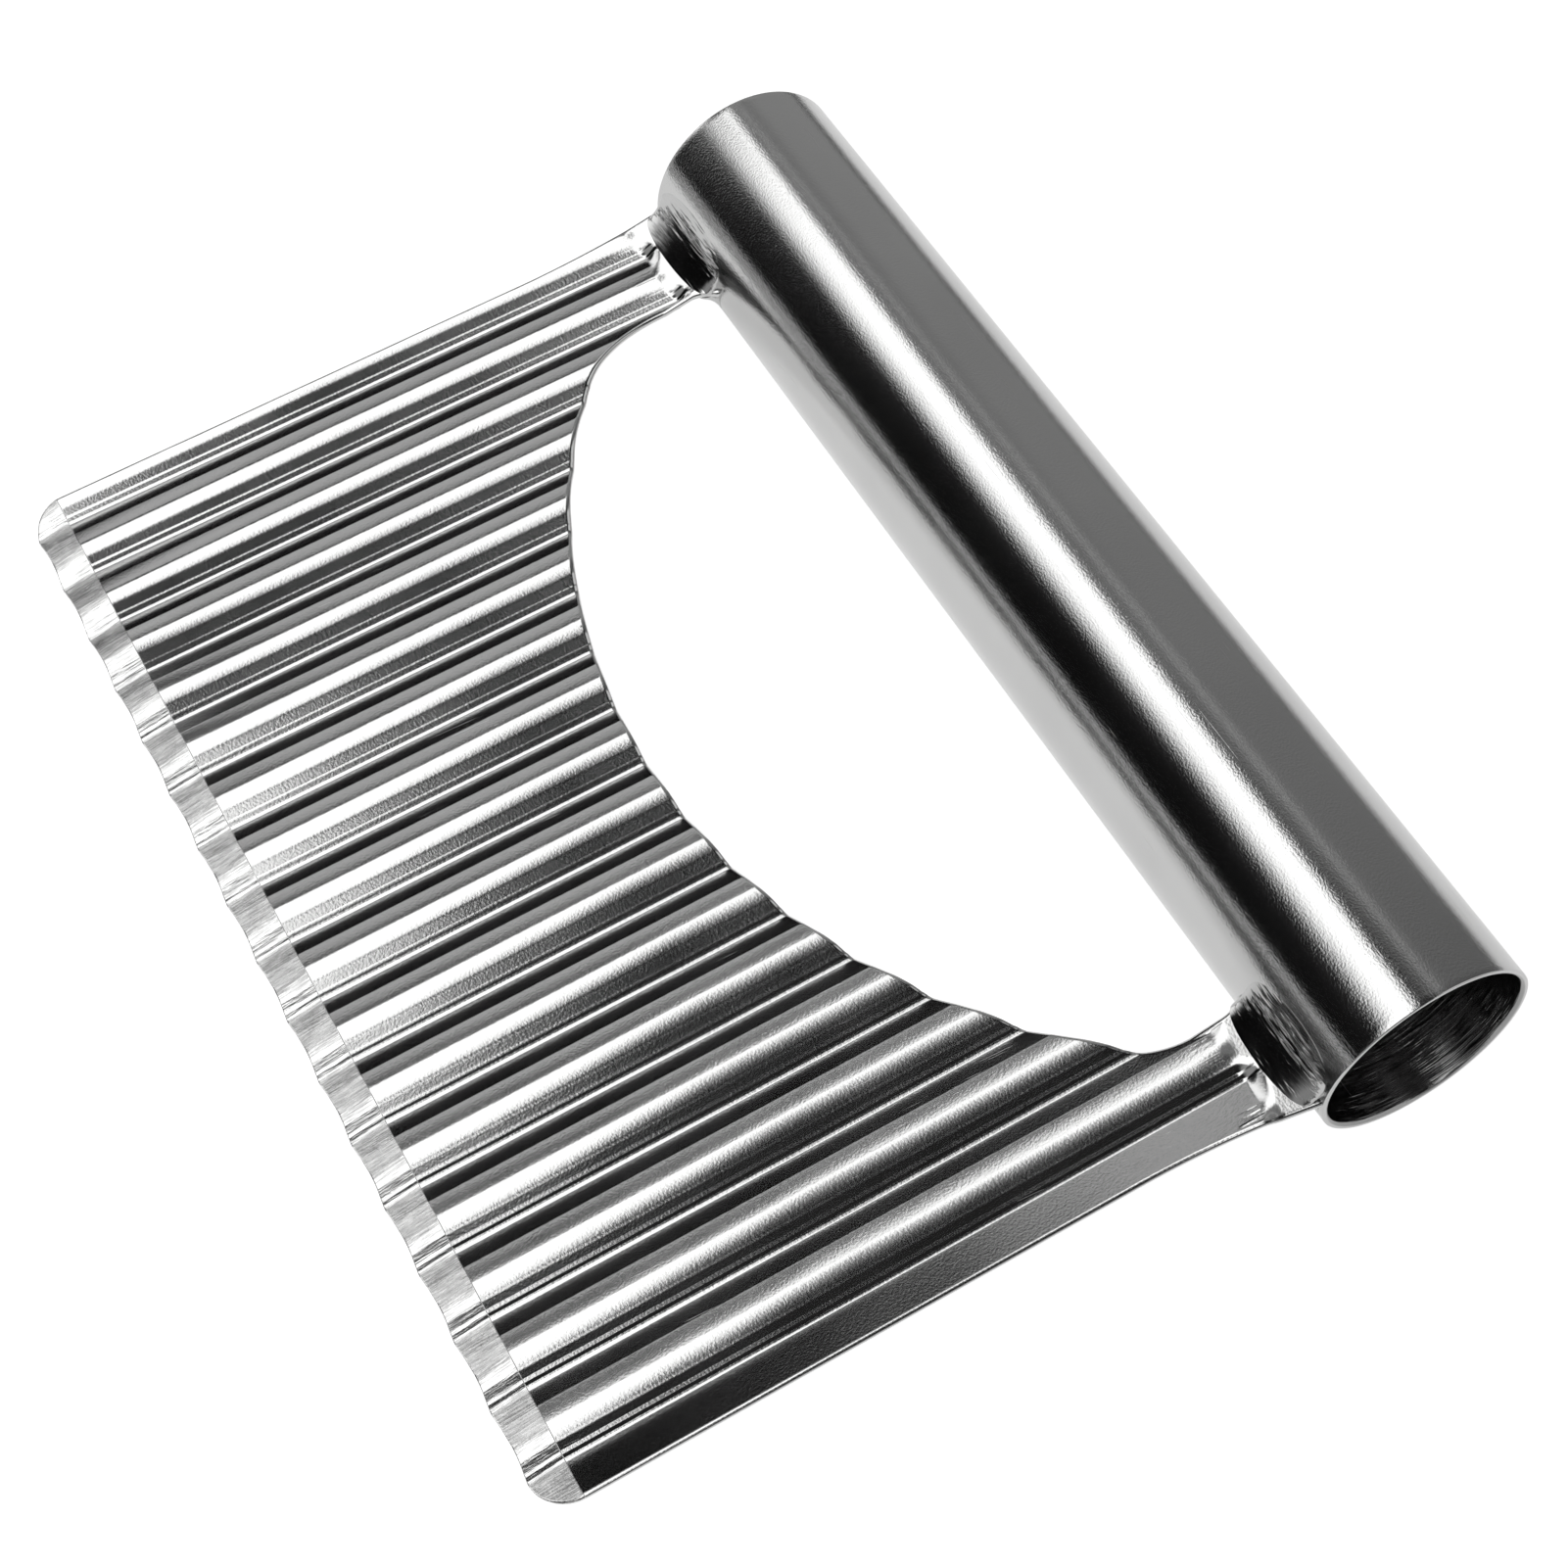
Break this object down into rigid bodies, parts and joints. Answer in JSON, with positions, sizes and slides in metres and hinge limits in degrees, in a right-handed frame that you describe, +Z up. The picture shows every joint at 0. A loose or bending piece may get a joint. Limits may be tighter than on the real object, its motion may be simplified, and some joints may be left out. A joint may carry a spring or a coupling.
{
  "type": "crinkle cutter",
  "caption": "Hand-held crinkle cutter: a corrugated steel blade with a ground edge and a D-shaped finger opening, welded by its arms to an open tube handle.",
  "frame": {"origin": "on the table under the middle of the tool's bounding box, with the tool resting on its cutting edge and its tube", "axes": "+X along the tube handle, +Y from the cutting edge to the handle, +Z up"},
  "size_m": [0.1438, 0.1106, 0.025],
  "materials": {
    "blade_steel": "bright rolled stainless sheet with a lighter ground band along the cutting edge",
    "tube_steel": "polished stainless tube with a fine grain, duller inside",
    "weld_steel": "smooth polished weld fillet"
  },
  "bodies": {
    "root": {"blade": "blade_steel", "handle_tube": "tube_steel", "weld_left_upper": "weld_steel", "weld_left_lower": "weld_steel", "weld_right_upper": "weld_steel", "weld_right_lower": "weld_steel"}
  },
  "joints": []
}
